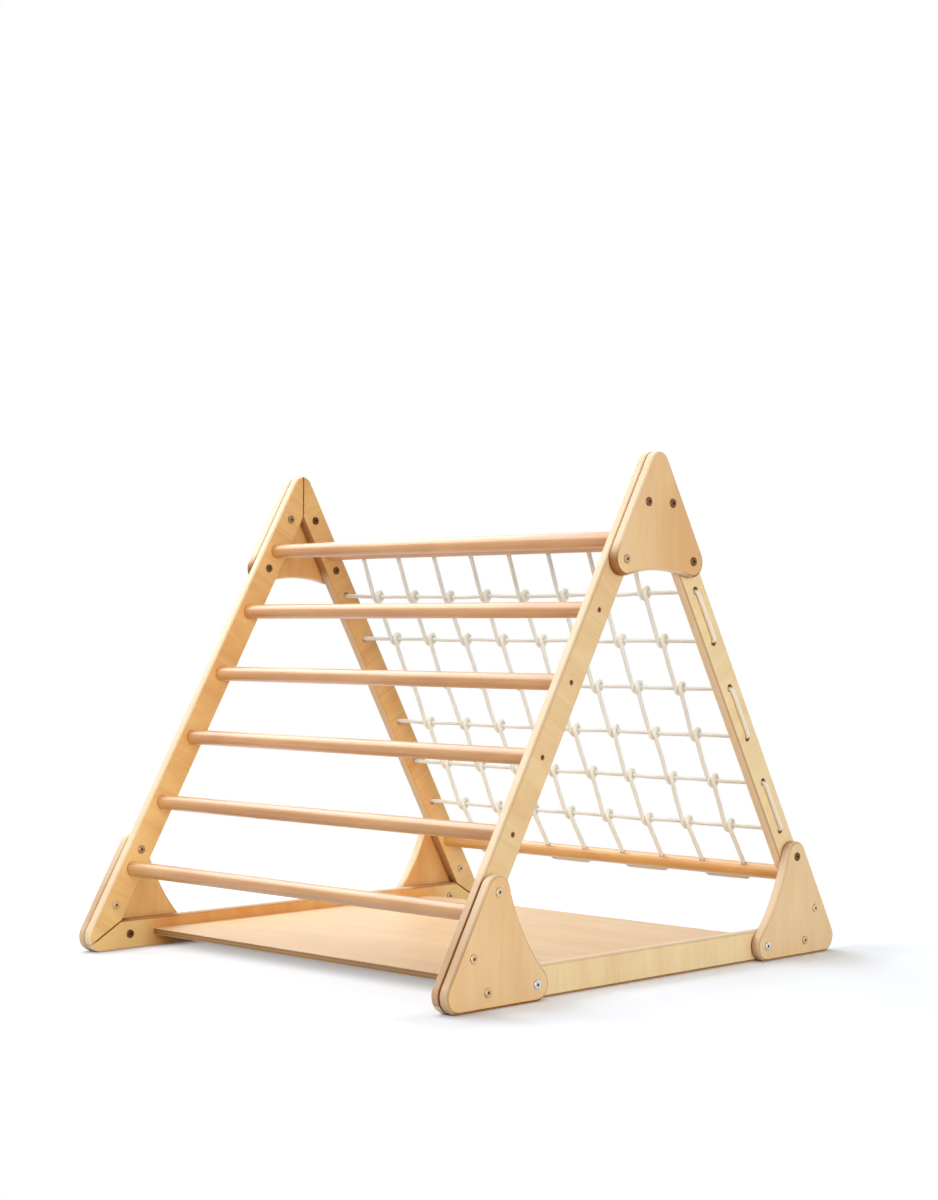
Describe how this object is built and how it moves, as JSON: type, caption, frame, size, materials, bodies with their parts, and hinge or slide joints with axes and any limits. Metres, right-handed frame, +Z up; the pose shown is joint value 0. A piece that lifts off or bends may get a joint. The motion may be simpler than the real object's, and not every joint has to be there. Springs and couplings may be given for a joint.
{
  "type": "climbing triangle",
  "caption": "Wooden A-frame for small children to climb, with round rungs on one side, a knotted rope net on the other and a low deck between its two triangular frames.",
  "frame": {"origin": "on the floor, in the middle of the object's overall box", "axes": "+X along the rungs from the left frame to the right frame, +Y from the ladder side to the net side, +Z up"},
  "size_m": [0.968, 1.0346, 0.9087],
  "materials": {
    "rail_plywood": "satin clear lacquer, fine birch grain, pale edges with thin glue lines",
    "gusset_plywood": "satin clear lacquer, fine birch grain, pale edges with thin glue lines",
    "rung_beech": "satin clear lacquer, short flecks along the grain",
    "deck_plywood": "satin clear lacquer",
    "rope_cotton": "three-strand twisted cotton, matt",
    "steel": "bright nickel-plated",
    "dark_steel": "dark bronzed"
  },
  "bodies": {
    "root": {"ladder_rail_right": "rail_plywood", "ladder_rail_left": "rail_plywood", "net_rail_right": "rail_plywood", "net_rail_left": "rail_plywood", "base_rail_right": "rail_plywood", "base_rail_left": "rail_plywood", "apex_gusset_right": "gusset_plywood", "apex_gusset_left": "gusset_plywood", "ladder_foot_gusset_right": "gusset_plywood", "ladder_foot_gusset_left": "gusset_plywood", "net_foot_gusset_right": "gusset_plywood", "net_foot_gusset_left": "gusset_plywood", "rung_1": "rung_beech", "rung_2": "rung_beech", "rung_3": "rung_beech", "rung_4": "rung_beech", "rung_5": "rung_beech", "rung_6": "rung_beech", "net_top_dowel": "rung_beech", "net_bottom_dowel": "rung_beech", "deck_panel": "deck_plywood", "cross_rope_1": "rope_cotton", "cross_rope_2": "rope_cotton", "cross_rope_3": "rope_cotton", "upright_rope_1": "rope_cotton", "upright_rope_2": "rope_cotton", "upright_rope_3": "rope_cotton", "upright_rope_4": "rope_cotton", "apex_bolts_right": "steel", "apex_bolts_left": "steel", "ladder_foot_bolts_right": "steel", "ladder_foot_bolts_left": "steel", "net_foot_bolts_right": "steel", "net_foot_bolts_left": "steel", "sleeve_nuts_right": "steel", "sleeve_nuts_left": "steel", "deck_bolts": "steel", "barrel_nuts": "steel", "rung_screws_right": "dark_steel", "rung_screws_left": "dark_steel", "net_dowel_screws": "dark_steel"}
  },
  "joints": []
}
